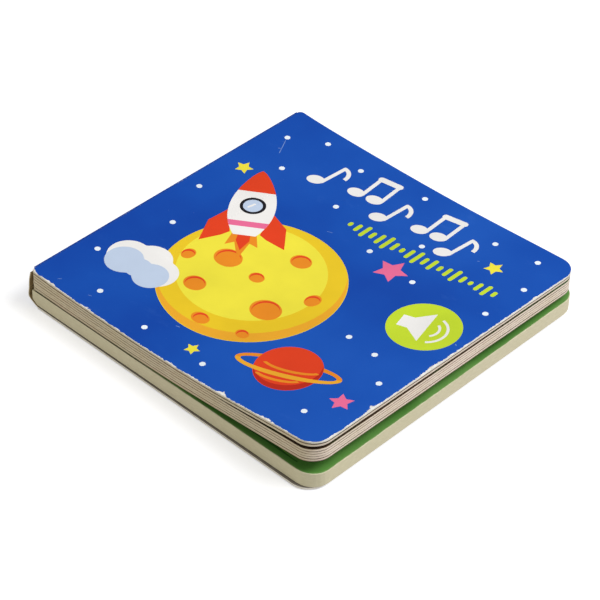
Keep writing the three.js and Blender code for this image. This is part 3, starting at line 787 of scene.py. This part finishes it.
def star(x, y, radius, turn, arms=5, waist=0.5):
    outline = []
    for k in range(2 * arms):
        reach = radius if k % 2 == 0 else radius * waist
        outline.append((reach * math.cos(math.pi * k / arms), reach * math.sin(math.pi * k / arms)))
    return turned(outline, x, y, turn)


def capsule(x1, y1, x2, y2, width, steps=8):
    """A straight stroke with round ends."""
    length, half, quarter = math.hypot(x2 - x1, y2 - y1), width / 2, math.pi / 2
    ends = arc(half, half, -quarter, quarter, steps, length) + arc(half, half, quarter, 3 * quarter, steps)
    return turned(ends, x1, y1, math.atan2(y2 - y1, x2 - x1))


def band(x, y, rx, ry, width, start, end, turn=0.0, steps=24):
    """Part of a ring, from one angle to another in degrees."""
    start, end, half = math.radians(start), math.radians(end), width / 2
    outline = arc(rx + half, ry + half, start, end, steps) + arc(rx - half, ry - half, end, start, steps)
    return turned(outline, x, y, turn)


def crescent(x, y, radius, shift, turn, steps=24):
    """The part of a disc that a second disc of the same size, moved by shift, leaves uncovered."""
    reach = math.acos(shift / 2 / radius)
    outer = arc(radius, radius, reach, 2 * math.pi - reach, steps)
    inner = arc(radius, radius, math.pi + reach, math.pi - reach, steps, shift)
    return turned(outer + inner[1:-1], x, y, math.radians(turn))


def half_ring(x, y, rx, ry, width, way, turn, steps=40):
    """Half of a flat ring seen at a slant, the back one for way 1 and the front one for way -1."""
    inner = arc(rx - 0.5 * width, way * (ry - 0.55 * width), math.pi, 0, steps)
    return turned(arc(rx, way * ry, 0, math.pi, steps) + inner, x, y, turn)


def puffed(x, y, puffs, steps=72):
    """The outline round several circles, given as (dx, dy, radius), that all reach over the point x, y."""
    outline = []
    for k in range(steps):
        u, v = math.cos(2 * math.pi * k / steps), math.sin(2 * math.pi * k / steps)
        reach = 0.0
        for dx, dy, radius in puffs:
            along = u * dx + v * dy
            across = radius * radius - (dx * dx + dy * dy - along * along)
            if across > 0:
                reach = max(reach, along + math.sqrt(across))
        outline.append((x + u * reach, y + v * reach))
    return outline


def moon():
    x, y, radius = MOON
    shades = [crescent(cx, cy, min(rx, ry) * 0.94, 1.1, -50, 14) for cx, cy, rx, ry in CRATERS]
    printed("print_moon", [disc(x, y, radius, 96)], "gold")
    printed("print_moon_glow", [ellipse(x - 4, y + 4, radius - 8, radius - 9, steps=80)], "yellow", 2)
    printed("print_moon_shade", [crescent(x, y, radius - 0.4, 5.5, 132, 40)], "amber", 2)
    printed("print_craters", [ellipse(*c) for c in CRATERS], "orange", 3)
    printed("print_crater_shade", shades, "red", 4)


def planet(x=122.0, y=30.0, radius=14.5, tilt=math.radians(20)):
    stripes = [band(x, y + 3, radius - 1.6, 4.5, 1.5, 205, 335, tilt),
               band(x, y - 5.5, radius - 4.4, 3.6, 1.5, 205, 335, tilt)]
    back, front = (half_ring(x, y, 23.5, 6.4, 4.6, way, tilt) for way in (1, -1))
    printed("print_planet_ring_back", [back], "orange")
    printed("print_planet", [disc(x, y, radius, 56)], "red", 2)
    printed("print_planet_shade", [crescent(x, y, radius - 0.2, 3.2, 130)], "dark_red", 3)
    printed("print_planet_stripes", stripes, "orange", 4)
    printed("print_planet_ring", [front], "amber", 5)


def rocket(x=35.0, y=98.0, turn=math.radians(34), scale=1.5):
    """A toy rocket that flies off to the upper left, drawn pointing up and then turned."""
    def side(v):
        along = (v + 13) / 31
        return 7.4 * math.sin(math.pi * min(along * 0.9 + 0.1, 1.0)) ** 0.7 * (1.02 - 0.2 * along)

    right = [(side(v), v) for v in (-13 + 31 * k / 30 for k in range(30))]
    hull = right + [(0, 18)] + [(-u, v) for u, v in reversed(right)]
    nose = [(u, v) for u, v in hull if v > 7.5]
    belt = [(-side(-9), -9), (side(-9), -9), (side(-6.5), -6.5), (-side(-6.5), -6.5)]
    fin = [(4.4, -12), (6.6, -14), (12.5, -17.5), (11.5, -8), (6.8, -2)]
    fins = [[(k * u, v) for u, v in fin] for k in (1, -1)]
    flame = [(-3.6, -12.5), (-4.8, -18), (-2.2, -16.5), (0, -24), (2.2, -16.5), (4.8, -18), (3.6, -12.5)]
    spark = [(-1.8, -12.5), (-2.0, -15.5), (0, -20), (2.0, -15.5), (1.8, -12.5)]
    glint = capsule(-1.2, 0.2, 0.4, 1.8, 0.7, 4)
    for name, outlines, ink_name, layer in (
        ("flame", [flame], "orange", 4), ("spark", [spark], "red", 5), ("fins", fins, "red", 5),
        ("hull", [hull], "white", 6), ("nose", [nose], "red", 7), ("belt", [belt], "pink", 7),
        ("rim", [disc(0, 1, 3.9)], "black", 7), ("window", [disc(0, 1, 2.9)], "mist", 8),
        ("glint", [glint], "white", 9),
    ):
        laid = [turned(outline, x, y, turn, scale) for outline in outlines]
        printed(f"print_rocket_{name}", laid, ink_name, layer)


def cloud(x=30, y=38):
    puffs = ((-9.0, -1.0, 9.6), (0.0, 3.4, 9.5), (8.5, -0.6, 9.0), (3.0, -2.0, 7.0))
    lower = ((-8.0, -4.6, 8.6), (0.0, -4.0, 6.0), (7.6, -4.2, 8.0))
    printed("print_cloud", [puffed(x, y, puffs)], "white", 4)
    printed("print_cloud_shade", [puffed(x, y, lower)], "mist", 5)


def notes():
    """A row of notes, every other one of them a pair."""
    heads, stems, flags = [], [], []
    for k, (x, y, lean) in enumerate(NOTES):
        top = (x + 3.2 + lean * 10, y + 9)
        heads.append(ellipse(x, y - 6, 4.1, 3.0, 0.35 + lean))
        stems.append(capsule(x + 3.2, y - 5.4, *top, 1.9))
        if k % 2:
            second_top = (x + 12.8 + lean * 10, y + 10.4)
            heads.append(ellipse(x + 9.6, y - 4.4, 4.1, 3.0, 0.35 + lean))
            stems.append(capsule(x + 12.8, y - 3.8, *second_top, 1.9))
            flags.append(capsule(*top, *second_top, 3.2))
        else:
            flags.append(band(top[0] + 0.2, top[1] - 5.6, 5.0, 5.6, 2.0, -12, 92, lean))
    printed("print_notes", heads, "white", 1)
    printed("print_note_stems", stems, "white", 2)
    printed("print_note_flags", flags, "white", 3)


def sound_bars(x=73.0, y=120.5, pitch=4.1, slope=0.055, width=2.0):
    bars = []
    for k, height in enumerate(BARS):
        middle, reach = y + slope * k * pitch, (height - width) / 2
        bars.append(capsule(x + k * pitch, middle - reach, x + k * pitch, middle + reach, width))
    printed("print_bars", bars, "lime")


def press_disc(face, lean=math.radians(15)):
    """The place to press, with the common sign of a loudspeaker."""
    x, y, radius = PRESS_DISC
    horn = [(-11.1, -3.8), (-6.1, -3.8), (1.4, -10.2), (1.4, 10.2), (-6.1, 3.9), (-11.1, 3.8)]
    waves = [band(1.5, -0.5, 5.3, 5.3, 1.15, -54, 49), band(1.2, -0.9, 9.2, 9.2, 1.2, -66, 64)]
    printed(f"press_disc_{face}", [disc(x, y, radius, 72)], "lime", face=face)
    printed(f"press_horn_{face}", [turned(horn, x, y, lean)], "white", 2, face=face)
    printed(f"press_waves_{face}", [turned(wave, x, y, lean) for wave in waves], "white", 2, face=face)


def scratches():
    """Fine marks of use in the print."""
    strokes = [capsule(x, y, x + dx, y + dy, width, 3) for x, y, dx, dy, width in MARKS]
    printed("print_scratches", strokes, "scratch")


def hill(base, rise, waves, shift):
    """Rolling ground along the tail of a page, which runs out before the fore-edge."""
    low, high = PAGE_RIM, LEAF - CORNER - PAGE_RIM
    crest = []
    for k in range(HILL_STEPS + 1):
        x = blend(high, low, k / HILL_STEPS)
        height = base + rise * math.sin(waves * k / HILL_STEPS + shift) - low
        crest.append((x, low + 0.5 + height * (1 - smooth(x, high - HILL_RUN, high))))
    return [(low, low), (high, low)] + crest


def page_prints():
    """Plain pictures on the faces that show when the book is open."""
    for face in ("first_page", "last_page"):
        press_disc(face)
    dots = [disc(x, y, DOT_RADIUS, 16) for x, y in DOTS if y > 95]
    for face in ("cover_inside", "first_page", "last_leaf", "last_page"):
        printed(f"dots_{face}", dots, "frost", cell=1.2, face=face)
        printed(f"far_hill_{face}", [hill(46, 9, 5.2, 0.4)], "meadow", face=face)
        printed(f"near_hill_{face}", [hill(26, 7, 6.4, 2.6)], "leaf", 2, face=face)
    for face, x, y, radius in (("first_page", 48, 112, 19), ("last_leaf", 104, 108, 22)):
        printed(f"sun_{face}", [disc(x, y, radius, 48)], "gold", 2, face=face)
        printed(f"sun_glow_{face}", [disc(x, y, radius - 5, 40)], "yellow", 3, face=face)
    flowers = [star(x, y, 5.0, turn, 6, 0.6) for x, y, turn in FLOWERS]
    hearts = [disc(x, y, 1.6, 18) for x, y, _ in FLOWERS]
    for face in ("cover_inside", "last_page"):
        printed(f"flowers_{face}", flowers, "pink", 3, face=face)
        printed(f"flower_hearts_{face}", hearts, "yellow", 4, face=face)


def all_prints():
    moon()
    planet()
    rocket()
    cloud()
    notes()
    sound_bars()
    press_disc("cover")
    scratches()
    page_prints()
    pink_stars = [star(108, 108, 8.0, 0.25), star(153, 28, 5.4, 0.9)]
    gold_stars = [star(12, 116, 4.4, 0.5), star(139, 139, 4.6, 0.1), star(84, 13, 3.6, 0.3)]
    printed("print_dots", [disc(x, y, DOT_RADIUS, 16) for x, y in DOTS], "frost", cell=1.2)
    printed("print_stars_pink", pink_stars, "pink")
    printed("print_stars_gold", gold_stars, "yellow")


# Stage

def white_when_seen(tree, shown, real):
    """A strength that the camera sees as one value and the light as another."""
    seen = add_node(tree, "ShaderNodeLightPath", {}).outputs["Is Camera Ray"]
    return add_node(tree, "ShaderNodeMix", {0: seen, 2: real, 3: shown}).outputs[0]


def stage():
    bpy.ops.mesh.primitive_plane_add(size=FLOOR_SIZE, location=(0, 0, -FLOOR_DROP))
    floor = bpy.context.object
    floor.name = "floor"
    m = Nodes("pale_floor", 0.9, sheen=0.0)
    m.shader["Base Color"].default_value = (0.62, 0.62, 0.63, 1)
    m.shader["Emission Color"].default_value = (1, 1, 1, 1)
    m.tree.links.new(white_when_seen(m.tree, FLOOR_SHINE, 0.0), m.shader["Emission Strength"])
    floor.data.materials.append(m.material)
    world = bpy.data.worlds.new("studio")
    world.use_nodes = True
    bpy.context.scene.world = world
    background = world.node_tree.nodes["Background"].inputs
    background["Color"].default_value = (1, 1, 1, 1)
    world.node_tree.links.new(white_when_seen(world.node_tree, 1.0, AMBIENT), background["Strength"])


def soft_lamp(name, place, size, watts, colour=(1.0, 1.0, 1.0)):
    lamp = bpy.data.lights.new(name, "AREA")
    lamp.color = colour
    lamp.size = size
    lamp.energy = watts
    lamp_object = bpy.data.objects.new(name, lamp)
    lamp_object.location = place
    lamp_object.rotation_euler = (-Vector(place)).to_track_quat("-Z", "Y").to_euler()
    bpy.context.scene.collection.objects.link(lamp_object)


def camera():
    azimuth, elevation, roll = (math.radians(a) for a in (AZIMUTH, ELEVATION, ROLL))
    level = Vector((math.sin(azimuth), -math.cos(azimuth), 0))
    back = level * math.cos(elevation) + Vector((0, 0, math.sin(elevation)))
    right = Vector((math.cos(azimuth), math.sin(azimuth), 0))
    up = back.cross(right)
    right, up = math.cos(roll) * right + math.sin(roll) * up, math.cos(roll) * up - math.sin(roll) * right
    data = bpy.data.cameras.new("camera")
    data.sensor_width = SENSOR
    data.lens = FOCUS_PIXELS / IMAGE_PIXELS * SENSOR
    camera_object = bpy.data.objects.new("camera", data)
    place = to_row(*TARGET) + back * DISTANCE * MM
    turn = Matrix((right, up, back)).transposed().to_4x4()
    camera_object.matrix_world = Matrix.Translation(place) @ turn
    bpy.context.scene.collection.objects.link(camera_object)
    bpy.context.scene.camera = camera_object


bpy.context.scene.view_settings.view_transform = "Standard"
stage()
soft_lamp("key", (0.85, 0.5, 1.35), 0.9, 23.0)
soft_lamp("tail_fill", (-0.6, -1.05, 0.45), 0.8, 3.4, (1.0, 0.93, 0.74))
camera()

cover = front_cover()
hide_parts("front_cover")
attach(cover, "cover_board")
fold = cover_fold()
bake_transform(fold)
inks = {name: ink(name, colour) for name, colour in INKS.items()}
all_prints()
leaves = page_block()
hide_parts("page_block")
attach(leaves, "page_stack")
green = last_page()
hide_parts("last_page")
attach(green, "back_part")

# Finish of each piece that keeps the model's own shape
LOOKS = (
    (wrap_print(), ("spine_wrap_upper", "spine_wrap_lower")),
    (core_board(), ("block_frame",)),
    (back_print(), ("back_cover",)),
    (moulded("dark_plastic", (58, 58, 64), 0.5), ("module_case", "module_lid")),
    (moulded("pale_plastic", (232, 229, 222), 0.45), ("battery_door",)),
    (metal("steel", (200, 202, 206), 0.3),
     ("battery_screw", "button_cell_1", "button_cell_2", "button_cell_3", "speaker_frame", "speaker_magnet")),
    (metal("contact_brass", (214, 184, 110), 0.32),
     ("contact_plus", "contact_top_bridge", "contact_door_bridge", "contact_minus")),
    (moulded("laminate", (48, 120, 66), 0.4), ("circuit_board",)),
    (moulded("resin", (22, 22, 26), 0.25), ("chip_blob",)),
    (moulded("switch_film", (216, 213, 200), 0.35), ("film_switch",)),
    (moulded("cone_paper", (60, 57, 52), 0.8), ("speaker_cone",)),
    (moulded("red_sleeve", (186, 40, 32), 0.45), ("wire_red",)),
    (moulded("black_sleeve", (28, 28, 30), 0.45), ("wire_black",)),
)
for material, nodes in LOOKS:
    for node in nodes:
        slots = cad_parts[node].data.materials
        slots.clear()
        slots.append(material)
